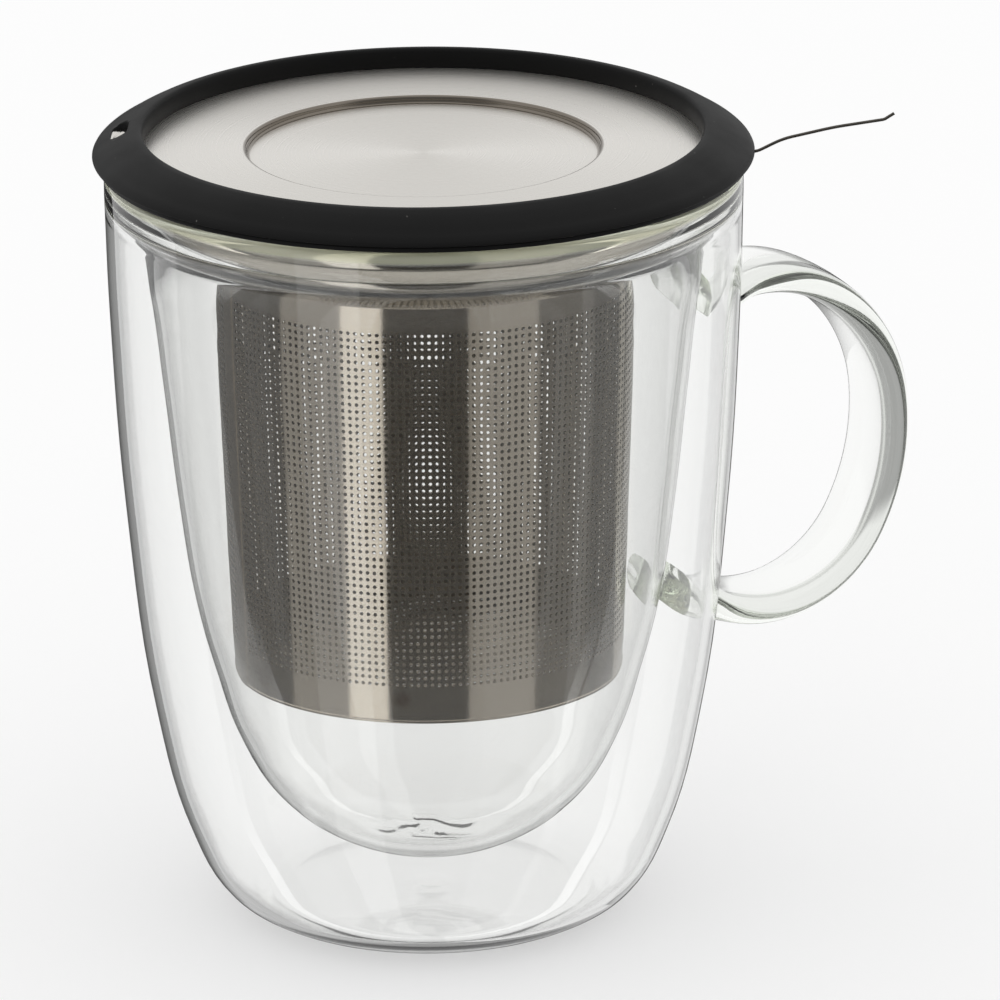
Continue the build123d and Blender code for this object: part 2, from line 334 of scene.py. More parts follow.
def blown_borosilicate():
    """Clear borosilicate, blown and flame polished: sharp edges, slow waves, green depth, and painted light
    at the rim: a cream, less clear band for light mirrored inside the thick fused lip.
    """
    settings = glass_settings()
    wave_length = 9.0 * MM
    haze_low = 111.3 * MM
    haze_high = 112.0 * MM
    material, tree, shader, output = new_material("blown_borosilicate_glass")
    shader.inputs["Roughness"].default_value = 0.0
    shader.inputs["IOR"].default_value = 1.47
    tinted = add_node(
        tree, "ShaderNodeVolumeAbsorption", {"Color": settings.tint, "Density": settings.tint_density},
    )
    tree.links.new(tinted.outputs[0], output.inputs["Volume"])
    place, (_, _, z) = object_axes(tree)
    # Above the rim heights the glass lets less through and turns cream: painted light for light mirrored
    # inside the thick fused lip.
    rim = add_node(
        tree, "ShaderNodeMapRange", {0: z, 1: haze_low, 2: haze_high, 3: 0.0, 4: 1.0},
        interpolation_type="SMOOTHSTEP",
    ).outputs[0]
    clear = add_node(tree, "ShaderNodeMapRange", {0: rim, 3: 1.0, 4: 0.68}).outputs[0]
    tree.links.new(clear, shader.inputs["Transmission Weight"])
    shade = add_node(
        tree, "ShaderNodeMix", {0: rim, 6: WHITE, 7: settings.rim_shade}, data_type="RGBA",
    ).outputs[2]
    tree.links.new(shade, shader.inputs["Base Color"])
    stretched = add_node(
        tree, "ShaderNodeMapping", {"Vector": place, "Scale": (1.0, 1.0, 0.25)}, vector_type="POINT",
    )
    waves = add_node(
        tree, "ShaderNodeTexNoise",
        {"Vector": stretched.outputs[0], "Scale": 1.0 / wave_length, "Detail": 1.0, "Roughness": 0.4},
    )
    bump = add_node(
        tree, "ShaderNodeBump", {"Height": waves.outputs[0], "Strength": 0.12, "Distance": 0.05 * MM},
    )
    tree.links.new(bump.outputs[0], shader.inputs["Normal"])
    return material


def rolled_sheet_steel():
    """Stainless sheet, rolled bright and punched: clear upright reflections, streaks, straw tint at welds."""
    settings = infuser_settings()
    streak_width = 0.35 * MM
    streak_length = 14.0 * MM
    cloud_size = 12.0 * MM
    material, tree, shader, _ = new_material("rolled_stainless_sheet")
    shader.inputs["Metallic"].default_value = 1.0
    shader.inputs["Anisotropic"].default_value = 0.6
    shader.inputs["Anisotropic Rotation"].default_value = 0.25
    place, (x, y, z) = object_axes(tree)
    turn = add_node(tree, "ShaderNodeMath", {0: y, 1: x}, operation="ARCTAN2").outputs[0]
    unrolled = add_node(tree, "ShaderNodeCombineXYZ", {0: turn, 1: z}).outputs[0]
    streak_scale = (box_radius("basket_wall") / streak_width, 1.0 / streak_length, 0.0)
    streak_place = add_node(
        tree, "ShaderNodeVectorMath", {0: unrolled, 1: streak_scale}, operation="MULTIPLY",
    ).outputs[0]
    streaks = add_node(
        tree, "ShaderNodeTexNoise", {"Vector": streak_place, "Scale": 1.0, "Detail": 3.0, "Roughness": 0.6},
        noise_dimensions="2D",
    ).outputs[0]
    clouds = add_node(
        tree, "ShaderNodeTexNoise", {"Vector": place, "Scale": 1.0 / cloud_size, "Detail": 2.0},
    ).outputs[0]
    worn = add_node(tree, "ShaderNodeMix", {0: 0.3, 2: streaks, 3: clouds}).outputs[0]
    facing = add_node(tree, "ShaderNodeNewGeometry").outputs["True Normal"]
    outwards = add_node(
        tree, "ShaderNodeVectorMath", {0: facing, 1: place}, operation="DOT_PRODUCT",
    ).outputs["Value"]
    inner_side = add_node(tree, "ShaderNodeMath", {0: outwards, 1: 0.0}, operation="LESS_THAN").outputs[0]
    bright = add_node(tree, "ShaderNodeMapRange", {0: worn, 3: 0.07, 4: 0.17}).outputs[0]
    pickled = add_node(
        tree, "ShaderNodeMath", {0: inner_side, 1: 0.36, 2: bright}, operation="MULTIPLY_ADD",
    ).outputs[0]
    tree.links.new(pickled, shader.inputs["Roughness"])
    worn_shade = add_node(tree, "ShaderNodeMapRange", {0: worn, 3: 0.2, 4: 0.9}).outputs[0]
    shade = darkened(tree, worn_shade, settings.steel, 0.86)
    apart = [
        add_node(tree, "ShaderNodeVectorMath", {0: place, 1: weld}, operation="DISTANCE").outputs["Value"]
        for weld in weld_places()
    ]
    halo = add_node(
        tree, "ShaderNodeMapRange",
        {0: extreme(tree, "MINIMUM", *apart), 1: 0.5 * MM, 2: 1.7 * MM, 3: 0.6, 4: 0.0},
        interpolation_type="SMOOTHSTEP",
    ).outputs[0]
    tinted = add_node(
        tree, "ShaderNodeMix", {0: halo, 6: shade, 7: settings.weld_tint}, data_type="RGBA",
    ).outputs[2]
    tree.links.new(tinted, shader.inputs["Base Color"])
    upright = add_node(tree, "ShaderNodeTangent", direction_type="RADIAL", axis="Z")
    tree.links.new(upright.outputs[0], shader.inputs["Tangent"])
    bump = add_node(tree, "ShaderNodeBump", {"Height": streaks, "Strength": 0.1, "Distance": 0.004 * MM})
    tree.links.new(bump.outputs[0], shader.inputs["Normal"])
    return material


def turned_lines(tree, pitch):
    """Noise in rings about the mug's axis, like the lines of spun or round-brushed metal."""
    _, (x, y, z) = object_axes(tree)
    outward = add_node(tree, "ShaderNodeMath", {0: radius_of(tree, x, y), 1: z}, operation="ADD").outputs[0]
    return add_node(
        tree, "ShaderNodeTexNoise", {"W": outward, "Scale": 1.0 / pitch, "Detail": 4.0, "Roughness": 0.7},
        noise_dimensions="1D",
    ).outputs[0]


def spun_bright_steel():
    """Stainless spun over a former and polished: mirror-like, with the faint rings of the spinning tool."""
    line_pitch = 0.5 * MM
    material, tree, shader, _ = new_material("spun_polished_stainless")
    shader.inputs["Metallic"].default_value = 1.0
    lines = turned_lines(tree, line_pitch)
    rough = add_node(tree, "ShaderNodeMapRange", {0: lines, 3: 0.05, 4: 0.16}).outputs[0]
    tree.links.new(rough, shader.inputs["Roughness"])
    shade = darkened(tree, lines, infuser_settings().collar_steel, 0.84)
    tree.links.new(shade, shader.inputs["Base Color"])
    bump = add_node(tree, "ShaderNodeBump", {"Height": lines, "Strength": 0.25, "Distance": 0.006 * MM})
    tree.links.new(bump.outputs[0], shader.inputs["Normal"])
    return material


def round_brushed_steel():
    """Stainless brushed on a turntable: fine rings, drawn coarser than real, that fan the light out."""
    settings = lid_settings()
    line_pitch = 0.22 * MM
    wall_radius = settings.recess_radius - 0.25 * MM
    material, tree, shader, _ = new_material("round_brushed_stainless")
    shader.inputs["Metallic"].default_value = 1.0
    shader.inputs["Anisotropic Rotation"].default_value = 0.25
    lines = turned_lines(tree, line_pitch)
    _, (x, y, _) = object_axes(tree)
    aside = add_node(
        tree, "ShaderNodeMath", {0: radius_of(tree, x, y), 1: wall_radius}, operation="SUBTRACT",
    ).outputs[0]
    from_wall = add_node(tree, "ShaderNodeMath", {0: aside}, operation="ABSOLUTE").outputs[0]
    drawn = add_node(
        tree, "ShaderNodeMapRange", {0: from_wall, 1: 0.3 * MM, 2: 0.6 * MM, 3: 1.0, 4: 0.0},
        interpolation_type="SMOOTHSTEP",
    ).outputs[0]
    brushed = add_node(tree, "ShaderNodeMapRange", {0: lines, 3: 0.25, 4: 0.31}).outputs[0]
    rough = add_node(tree, "ShaderNodeMix", {0: drawn, 2: brushed, 3: 0.14}).outputs[0]
    tree.links.new(rough, shader.inputs["Roughness"])
    fanned = add_node(tree, "ShaderNodeMapRange", {0: drawn, 3: 0.86, 4: 0.0}).outputs[0]
    tree.links.new(fanned, shader.inputs["Anisotropic"])
    shade = darkened(tree, lines, settings.plate_steel, 0.975)
    # The recess wall gets a darker colour: painted shade for the dark that it mirrors.
    shaded = add_node(
        tree, "ShaderNodeMix", {0: drawn, 6: shade, 7: settings.drawn_steel}, data_type="RGBA",
    ).outputs[2]
    tree.links.new(shaded, shader.inputs["Base Color"])
    tangent = add_node(tree, "ShaderNodeTangent", direction_type="RADIAL", axis="Z")
    tree.links.new(tangent.outputs[0], shader.inputs["Tangent"])
    bump = add_node(tree, "ShaderNodeBump", {"Height": lines, "Strength": 0.02, "Distance": 0.004 * MM})
    tree.links.new(bump.outputs[0], shader.inputs["Normal"])
    return material


def drawn_spring_wire():
    """Stainless spring wire, drawn and heat-dulled: grey, with an uneven dull grain."""
    grain_size = 0.8 * MM
    material, tree, shader, _ = new_material("drawn_spring_wire")
    shader.inputs["Metallic"].default_value = 1.0
    place, _ = object_axes(tree)
    grain = add_node(
        tree, "ShaderNodeTexNoise", {"Vector": place, "Scale": 1.0 / grain_size, "Detail": 3.0},
    ).outputs[0]
    rough = add_node(tree, "ShaderNodeMapRange", {0: grain, 3: 0.25, 4: 0.5}).outputs[0]
    tree.links.new(rough, shader.inputs["Roughness"])
    tree.links.new(darkened(tree, grain, infuser_settings().wire, 0.6), shader.inputs["Base Color"])
    return material


def moulded_silicone():
    """Silicone moulded in a blasted tool: deep matte black, a soft rim of light, an even grain, some dust."""
    settings = lid_settings()
    grain_size = 0.28 * MM
    cloud_size = 9.0 * MM
    speck_size = 0.75 * MM
    material, tree, shader, _ = new_material("moulded_black_silicone")
    shader.inputs["IOR"].default_value = 1.43
    shader.inputs["Specular IOR Level"].default_value = 0.16
    place, _ = object_axes(tree)
    grain = add_node(
        tree, "ShaderNodeTexNoise", {"Vector": place, "Scale": 1.0 / grain_size, "Detail": 2.0},
    ).outputs[0]
    clouds = add_node(
        tree, "ShaderNodeTexNoise", {"Vector": place, "Scale": 1.0 / cloud_size, "Detail": 3.0},
    ).outputs[0]
    rough = add_node(tree, "ShaderNodeMapRange", {0: clouds, 3: 0.42, 4: 0.62}).outputs[0]
    tree.links.new(rough, shader.inputs["Roughness"])
    specks = add_node(
        tree, "ShaderNodeTexNoise", {"Vector": place, "Scale": 1.0 / speck_size, "Detail": 1.0},
    ).outputs[0]
    dust = add_node(
        tree, "ShaderNodeMapRange", {0: specks, 1: 0.79, 2: 0.84, 3: 0.0, 4: 0.35},
    ).outputs[0]
    mottled = add_node(
        tree, "ShaderNodeMix", {0: clouds, 6: settings.silicone, 7: times(settings.silicone, 1.35)},
        data_type="RGBA",
    ).outputs[2]
    dusty = add_node(
        tree, "ShaderNodeMix", {0: dust, 6: mottled, 7: settings.dust}, data_type="RGBA",
    ).outputs[2]
    tree.links.new(dusty, shader.inputs["Base Color"])
    bump = add_node(tree, "ShaderNodeBump", {"Height": grain, "Strength": 0.35, "Distance": 0.03 * MM})
    tree.links.new(bump.outputs[0], shader.inputs["Normal"])
    return material


@cache
def material_of(maker):
    """The material that a maker function makes, made once."""
    return maker()


def smooth_line(points, detail=6):
    """Places on a smooth curve through (radius, height) points given in millimetres, in the XZ plane."""
    curve = bpy.data.curves.new("outline", "CURVE")
    curve.dimensions = "3D"
    curve.resolution_u = detail
    spline = curve.splines.new("BEZIER")
    spline.bezier_points.add(len(points) - 1)
    for handle, (radius, height) in zip(spline.bezier_points, points):
        handle.co = (radius * MM, 0.0, height * MM)
        handle.handle_left_type = handle.handle_right_type = "AUTO"
    holder = bpy.data.objects.new("outline", curve)
    bpy.context.scene.collection.objects.link(holder)
    mesh = bpy.data.meshes.new_from_object(holder.evaluated_get(bpy.context.evaluated_depsgraph_get()))
    line = [v.co.copy() for v in mesh.vertices]
    bpy.data.objects.remove(holder)
    bpy.data.curves.remove(curve)
    bpy.data.meshes.remove(mesh)
    return line


def straight(points):
    """Places in the XZ plane for (radius, height) points given in millimetres."""
    return [Vector((radius * MM, 0.0, height * MM)) for radius, height in points]


def millimetres(line):
    return [(p.x / MM, p.z / MM) for p in line]


def arc(middle, radius, start, end, count):
    """Places on an arc in the XZ plane, all in metres, the angles in degrees from outwards to upwards."""
    places = []
    for step in range(count + 1):
        angle = radians(start + (end - start) * step / count)
        places.append(Vector((middle[0] + radius * cos(angle), 0.0, middle[1] + radius * sin(angle))))
    return places


def offset_line(line, wall):
    """A line one wall thickness to the left of another one."""
    moved = []
    for index, place in enumerate(line):
        ahead = line[min(index + 1, len(line) - 1)] - line[max(index - 1, 0)]
        ahead.normalize()
        moved.append(place + Vector((-ahead.z, 0.0, ahead.x)) * wall)
    return moved


def turn_skin(bm, line, steps, closed=False):
    """Turn a line about the mug's axis into a closed skin, and return its faces."""
    known = set(bm.faces)
    vertices = [bm.verts.new(p) for p in line]
    edges = [bm.edges.new(pair) for pair in zip(vertices, vertices[1:])]
    if closed:
        edges.append(bm.edges.new((vertices[-1], vertices[0])))
    bmesh.ops.spin(
        bm, geom=vertices + edges, cent=(0, 0, 0), axis=UP, dvec=(0, 0, 0), angle=tau,
        steps=steps, use_merge=True, use_normal_flip=False, use_duplicate=False,
    )
    on_axis = [v for v in bm.verts if v.co.xy.length < 0.001 * MM]
    bmesh.ops.remove_doubles(bm, verts=on_axis, dist=0.002 * MM)
    faces = [f for f in bm.faces if f not in known]
    bmesh.ops.recalc_face_normals(bm, faces=faces)
    return faces


def crisp_mesh(bm, name, sharp_above):
    """A mesh from a bmesh, smooth except at edges that turn more than an angle in degrees."""
    mesh = bpy.data.meshes.new(name)
    bm.to_mesh(mesh)
    bm.free()
    mesh.shade_smooth()
    mesh.set_sharp_from_angle(angle=radians(sharp_above))
    return mesh


def show_piece(name, mesh, body, slot, maker, *nodes):
    """Put a finished mesh in the scene as a piece that rides on a body and stands for some nodes."""
    if not mesh.polygons:
        raise RuntimeError(f"{name} has no faces")
    piece = bpy.data.objects.new(name, mesh)
    bpy.context.scene.collection.objects.link(piece)
    mesh.materials.clear()
    mesh.materials.append(material_of(maker))
    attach(piece, body)
    if nodes:
        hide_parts(*nodes)


def combine(mesh, tool_mesh, operation):
    """Cut or join a mesh with another one."""
    scene_objects = bpy.context.scene.collection.objects
    target = bpy.data.objects.new("target", mesh)
    tool = bpy.data.objects.new("tool", tool_mesh)
    scene_objects.link(target)
    scene_objects.link(tool)
    joining = target.modifiers.new("combine", "BOOLEAN")
    joining.operation = operation
    joining.object = tool
    joining.solver = "EXACT"
    made = bpy.data.meshes.new_from_object(target.evaluated_get(bpy.context.evaluated_depsgraph_get()))
    bpy.data.objects.remove(target)
    bpy.data.objects.remove(tool)
    return made


def bowl_inside_line():
    """The bowl's face that holds the tea: one wall inside its outer face, then out to the lip."""
    followed = 0.9
    every = 6
    outside = smooth_line(INNER_BOWL_LINE)
    inside = offset_line(outside, glass_settings().inner_wall)
    kept = inside[:int(followed * len(inside)):every]
    kept[0] = Vector((0.0, 0.0, outside[0].z + glass_settings().inner_wall))
    return smooth_line([*millimetres(kept), *BOWL_THROAT_LINE])


def glass_skin_line():
    """The glass that a hand can touch: base, outer wall, round lip and the inside of the bowl."""
    base_edge = OUTER_WALL_LINE[0][0]
    base = straight([(0.0, 0.0), (0.5 * base_edge, 0.0), (0.9 * base_edge, 0.0)])
    wall = smooth_line(OUTER_WALL_LINE)
    inside = bowl_inside_line()
    lip_middle = (wall[-1].x + inside[-1].x) / 2
    lip_radius = (wall[-1].x - inside[-1].x) / 2
    lip = arc((lip_middle, inside[-1].z), lip_radius, 0, 180, 14)
    return [*base, *wall, *lip[:-1], *reversed(inside)]


def gap_line():
    """The air gap between the walls: over the base and its seal, up the outer wall, down under the bowl."""
    settings = glass_settings()
    base_edge = OUTER_WALL_LINE[0][0] * MM
    dome_radius = (settings.seal_radius**2 + settings.seal_dome**2) / (2 * settings.seal_dome)
    half_angle = degrees(asin(settings.seal_radius / dome_radius))
    dome_middle = (0.0, settings.base + settings.seal_dome - dome_radius)
    seal = arc(dome_middle, dome_radius, 90, 90 - half_angle, 8)
    flat = [Vector((base_edge * share, 0.0, settings.base)) for share in (0.4, 0.7, 0.92)]
    wall = offset_line(smooth_line(OUTER_WALL_LINE), settings.outer_wall)
    clear_of_base = [p for p in wall if p.z > settings.base * 1.25 and p.z < GAP_TOP_LINE[0][1] * MM]
    top = smooth_line([millimetres(clear_of_base)[-1], *GAP_TOP_LINE, INNER_BOWL_LINE[-1]])
    bowl = smooth_line(INNER_BOWL_LINE, 12)
    return [*seal, *flat, *clear_of_base, *top[1:-1], *reversed(bowl)]


def press_closing_marks(bm):
    """Push the bowl's foot down along the marks, on the face over the air gap."""
    settings = glass_settings()
    margin = 0.1 * MM
    reach = 11.0 * MM
    turned = Matrix.Rotation(radians(CAMERA_TURN), 2)
    lines = [[turned @ (Vector(p) * MM) for p in mark] for mark in CLOSING_MARKS]
    low = INNER_BOWL_LINE[0][1] * MM - margin
    high = INNER_BOWL_LINE[2][1] * MM
    for vertex in [v for v in bm.verts if low < v.co.z < high and v.co.xy.length < reach]:
        push = 0.0
        for line in lines:
            for start, end in zip(line, line[1:]):
                run = end - start
                along = max(0.0, min(1.0, (vertex.co.xy - start).dot(run) / run.length_squared))
                away = (vertex.co.xy - start.lerp(end, along)).length
                push = max(push, 1.0 - away / (2 * settings.mark_width))
        vertex.co.z -= settings.mark_height * push * push * (3 - 2 * push)


def handle_places():
    """Places and directions along the handle's middle line."""
    steps = 22
    place = Vector((HANDLE_START[0] * MM, 0.0, HANDLE_START[1] * MM))
    heading = HANDLE_START_SLOPE
    found = [(place.copy(), heading)]
    for radius, turn in HANDLE_ARCS:
        side = Vector((sin(radians(heading)), 0.0, -cos(radians(heading)))) * radius * MM
        middle = place + side
        for step in range(1, steps + 1):
            angle = turn * step / steps
            found.append((middle + Matrix.Rotation(radians(angle), 3, "Y") @ -side, heading - angle))
        place = found[-1][0].copy()
        heading -= turn
    return found


def wall_radius_at(height, line):
    """The outer wall's radius at a height."""
    for low, high in zip(line, line[1:]):
        if low.z <= height <= high.z:
            share = (height - low.z) / max(high.z - low.z, 1e-9)
            return low.x + share * (high.x - low.x)
    return line[-1].x


def sink_ring(ring, heading, wall):
    """Slide an end of the strap along its heading, point by point, onto the middle of the outer wall."""
    depth = glass_settings().outer_wall / 2
    step = Vector((cos(radians(heading)), 0.0, sin(radians(heading)))) * 0.02 * MM
    for vertex in ring:
        while vertex.co.xy.length > wall_radius_at(vertex.co.z, wall) - depth:
            vertex.co += step


def strap_outline(bm):
    """The strap's section as a loop of vertices in the XY plane, width along X and thickness along Y."""
    settings = glass_settings()
    corner_steps = 5
    corner = settings.strap_corner
    across = settings.strap_width / 2 - corner
    crown = 0.25 * MM
    through = settings.strap_thickness / 2 - corner - crown
    loop = []
    for quarter, (sx, sy) in enumerate(((1, 1), (-1, 1), (-1, -1), (1, -1))):
        for step in range(corner_steps + 1):
            angle = pi / 2 * (quarter + step / corner_steps)
            loop.append(Vector((sx * across + corner * cos(angle), sy * through + corner * sin(angle), 0.0)))
        if quarter in (0, 2):
            for share in (0.6, 0.2, -0.2, -0.6):
                bulge = crown * (1 - share * share)
                loop.append(Vector((sx * across * share, sy * (through + corner + bulge), 0.0)))
    vertices = [bm.verts.new(p) for p in loop]
    edges = [bm.edges.new(pair) for pair in zip(vertices, vertices[1:] + vertices[:1])]
    return vertices, edges


def handle_mesh():
    """The drawn strap, swollen at its two roots, with its ends sunk halfway into the outer wall."""
    settings = glass_settings()
    bm = bmesh.new()
    wall = smooth_line(OUTER_WALL_LINE)
    clear = 2.0 * MM
    stations = [s for s in handle_places() if s[0].x > wall_radius_at(s[0].z, wall) + clear]
    loop, edges = strap_outline(bm)
    flat_places = [v.co.copy() for v in loop]
    passed = [0.0]
    for (before, _), (after, _) in zip(stations, stations[1:]):
        passed.append(passed[-1] + (after - before).length)
    stations = [stations[0], *stations, stations[-1]]
    passed = [-clear, *passed, passed[-1] + clear]
    whole = passed[-2]
    for index, (place, heading) in enumerate(stations):
        if index:
            grown = bmesh.ops.extrude_edge_only(bm, edges=edges)["geom"]
            fresh = {g for g in grown if isinstance(g, bmesh.types.BMVert)}
            edges = [g for g in grown if isinstance(g, bmesh.types.BMEdge) and set(g.verts) <= fresh]
            loop = [next(e.other_vert(v) for e in v.link_edges if e.other_vert(v) in fresh) for v in loop]
        from_root = (min(passed[index], whole - passed[index]) + clear) / settings.root_reach
        swell = 1.0 + (settings.root_swell - 1.0) * max(0.0, 1.0 - from_root) ** 1.5
        outward = Vector((-sin(radians(heading)), 0.0, cos(radians(heading))))
        for vertex, flat in zip(loop, flat_places):
            vertex.co = place + Vector((0.0, 1.0, 0.0)) * flat.x * swell + outward * flat.y * swell
        if index in (0, len(stations) - 1):
            sink_ring(loop, heading if index else heading + 180, wall)
    bmesh.ops.holes_fill(bm, edges=[e for e in bm.edges if e.is_boundary])
    bmesh.ops.recalc_face_normals(bm, faces=bm.faces[:])
    return crisp_mesh(bm, "strap", 60)


def build_glass():
    """The whole glass body: both walls, the air gap, the closing marks and the handle, fused to one skin."""
    settings = glass_settings()
    bm = bmesh.new()
    turn_skin(bm, glass_skin_line(), settings.steps)
    gap = turn_skin(bm, gap_line(), settings.steps)
    bmesh.ops.reverse_faces(bm, faces=gap)
    press_closing_marks(bm)
    walls = crisp_mesh(bm, "glass_body", 60)
    mesh = combine(walls, handle_mesh(), "UNION")
    mesh.shade_smooth()
    mesh.set_sharp_from_angle(angle=radians(50))
    show_piece(
        "glass_body", mesh, "mug", "clear_glass", blown_borosilicate,
        "outer_glass", "inner_glass", "vent_seal", "glass_handle",
    )


def round_corners(points, radius_mm):
    """A closed outline in millimetres with each corner rounded, as places in the XZ plane."""
    steps = 3
    places = []
    count = len(points)
    for index, point in enumerate(points):
        here = Vector(point)
        before = Vector(points[index - 1]) - here
        after = Vector(points[(index + 1) % count]) - here
        reach = min(radius_mm, 0.45 * before.length, 0.45 * after.length)
        start = here + before.normalized() * reach
        end = here + after.normalized() * reach
        for step in range(steps + 1):
            share = step / steps
            place = start.lerp(here, share).lerp(here.lerp(end, share), share)
            places.append(Vector((place.x * MM, 0.0, place.y * MM)))
    return places


def basket_radius(height):
    """Outside radius of the basket's wall at a height, in metres, from the frame."""
    foot = box_radius("basket_floor") + infuser_settings().sheet
    top = box_radius("basket_wall")
    low, high = box_low("basket_wall"), box_high("basket_wall")
    rim_share = (box_high("basket_floor") - low) / (high - low)
    foot_radius = (foot - rim_share * top) / (1 - rim_share)
    return foot_radius + (height - low) / (high - low) * (top - foot_radius)


def weld_places():
    """Middles of the four spot welds, from the frame."""
    height = (box_low("spot_welds") + box_high("spot_welds")) / 2
    places = []
    for quarter in range(4):
        angle = radians(FIRST_WELD_ANGLE + 90 * quarter)
        places.append(Vector((cos(angle), sin(angle), 0.0)) * basket_radius(height) + UP * height)
    return places


def open_holes(bm, faces, reach):
    """Open a round hole of eight sides in the middle of each given face."""
    middles = bmesh.ops.poke(bm, faces=faces)["verts"]
    grown = bmesh.ops.bevel(
        bm, geom=middles, offset=0.5 * reach, offset_type="OFFSET", segments=2, profile=0.25,
        affect="VERTICES", material=-1,
    )
    covers = set(grown["faces"])
    for middle in [v for v in grown["verts"] if all(f in covers for f in v.link_faces)]:
        for face in middle.link_faces:
            for vertex in face.verts:
                if vertex is not middle:
                    vertex.co = middle.co + (vertex.co - middle.co).normalized() * reach
    bmesh.ops.delete(bm, geom=grown["faces"], context="FACES")


def thicken(bm, thickness, flat=False):
    """Point a sheet's faces away from the mug's axis, or up if it is flat, and thicken it behind them."""
    bmesh.ops.recalc_face_normals(bm, faces=bm.faces[:])
    face = next(iter(bm.faces))
    away = UP if flat else Vector((*face.calc_center_median().xy, 0.0))
    if face.normal.dot(away) < 0:
        bmesh.ops.reverse_faces(bm, faces=bm.faces[:])
    bmesh.ops.solidify(bm, geom=bm.faces[:], thickness=thickness)


def wall_band(first_row, last_row, plain_below, plain_above):
    """A closed ring of the basket's wall: rows of holes with a plain margin below or above."""
    settings = infuser_settings()
    columns = settings.columns
    pitch = settings.row_pitch
    seam = settings.seam_columns
    holes_low = box_high("basket_floor") + 0.2 * MM
    heights = [holes_low + row * pitch for row in range(first_row, last_row + 1)]
    if plain_below:
        heights.insert(0, box_low("basket_wall"))
    if plain_above:
        heights.append(box_high("basket_wall"))
    rows = len(heights) - 1
    bm = bmesh.new()
    bmesh.ops.create_grid(bm, x_segments=columns, y_segments=rows, size=0.5)
    bmesh.ops.scale(bm, verts=bm.verts[:], vec=(columns, rows, 1.0))
    bmesh.ops.translate(bm, verts=bm.verts[:], vec=(columns / 2, rows / 2, 0.0))
    punched = []
    for face in bm.faces:
        middle = face.calc_center_median()
        in_margin = (plain_below and middle.y < 1) or (plain_above and middle.y > rows - 1)
        if not in_margin and middle.x > seam:
            punched.append(face)
    open_holes(bm, punched, settings.hole / 2 / pitch)
    turn = settings.seam_angle - seam / 2 / columns * tau
    for vertex in bm.verts:
        row = min(int(vertex.co.y), rows - 1)
        height = heights[row] + (vertex.co.y - row) * (heights[row + 1] - heights[row])
        angle = turn + vertex.co.x / columns * tau
        reach = basket_radius(height)
        vertex.co = Vector((reach * cos(angle), reach * sin(angle), height))
    bmesh.ops.remove_doubles(bm, verts=bm.verts[:], dist=0.01 * MM)
    thicken(bm, settings.sheet)
    return crisp_mesh(bm, "band", 35)


def build_basket_wall():
    """The perforated wall in three rings that meet between rows of holes."""
    settings = infuser_settings()
    third = settings.rows // 3
    marks = [0, third, 2 * third, settings.rows]
    names = ("basket_wall_foot", "basket_wall_middle", "basket_wall_top")
    for index, name in enumerate(names):
        mesh = wall_band(marks[index], marks[index + 1], index == 0, index == 2)
        replaced = ["basket_wall"] if index == 0 else []
        show_piece(name, mesh, "infuser", "basket_steel", rolled_sheet_steel, *replaced)


def build_seam():
    """The lap of the rolled sheet: a narrow proud strip up the wall."""
    proud = 0.07 * MM
    half_width = 1.35 * MM
    low = box_low("basket_wall")
    high = box_high("basket_wall")
    bm = bmesh.new()
    bmesh.ops.create_grid(bm, x_segments=4, y_segments=24, size=0.5)
    for vertex in bm.verts:
        height = low + (vertex.co.y + 0.5) * (high - low)
        reach = basket_radius(height) + proud
        angle = infuser_settings().seam_angle + 2 * vertex.co.x * half_width / reach
        vertex.co = Vector((reach * cos(angle), reach * sin(angle), height))
    thicken(bm, proud)
    show_piece("basket_wall_lap", crisp_mesh(bm, "lap", 35), "infuser", "basket_steel", rolled_sheet_steel)


def build_floor_disc():
    """The pressed floor's punched disc."""
    settings = infuser_settings()
    pitch = settings.floor_pitch
    sheet = settings.sheet
    low = box_low("basket_floor")
    edge = basket_radius(low) - 1.6 * sheet
    cells = 2 * ceil(edge / pitch)
    bm = bmesh.new()
    bmesh.ops.create_grid(bm, x_segments=cells, y_segments=cells, size=cells * pitch / 2)
    far = [f for f in bm.faces if f.calc_center_median().length > edge - 0.1 * pitch]
    bmesh.ops.delete(bm, geom=far, context="FACES")
    for vertex in {v for e in bm.edges if e.is_boundary for v in e.verts}:
        vertex.co = vertex.co.normalized() * edge
    punched = [f for f in bm.faces if f.calc_center_median().length < edge - settings.floor_margin]
    open_holes(bm, punched, settings.hole / 2)
    bmesh.ops.translate(bm, verts=bm.verts[:], vec=UP * (low + sheet))
    thicken(bm, sheet, flat=True)
    disc = crisp_mesh(bm, "floor", 35)
    show_piece("basket_floor_disc", disc, "infuser", "basket_steel", rolled_sheet_steel, "basket_floor")


def build_floor_rim():
    """The floor's upturned rim, which is welded in the wall, and the rolled bead at the wall's foot."""
    sheet = infuser_settings().sheet
    bead = 0.26 * MM
    low = box_low("basket_floor")
    high = box_high("basket_floor")
    foot = (basket_radius(low) - sheet) / MM
    head = (basket_radius(high) - sheet) / MM
    bottom, top, wall = low / MM, high / MM, sheet / MM
    rim = [
        (foot - 0.9, bottom), (foot, bottom), (head, top), (head - wall, top), (foot - wall, bottom + 0.9),
        (foot - 0.9, bottom + 0.3),
    ]
    bm = bmesh.new()
    turn_skin(bm, round_corners(rim, 0.12), FEW_FACES, closed=True)
    round_bead = arc((basket_radius(low) - 0.6 * bead, low + bead), bead, 0, 345, 23)
    turn_skin(bm, round_bead, FEW_FACES, closed=True)
    show_piece("basket_floor_rim", crisp_mesh(bm, "rim", 50), "infuser", "basket_steel", rolled_sheet_steel)


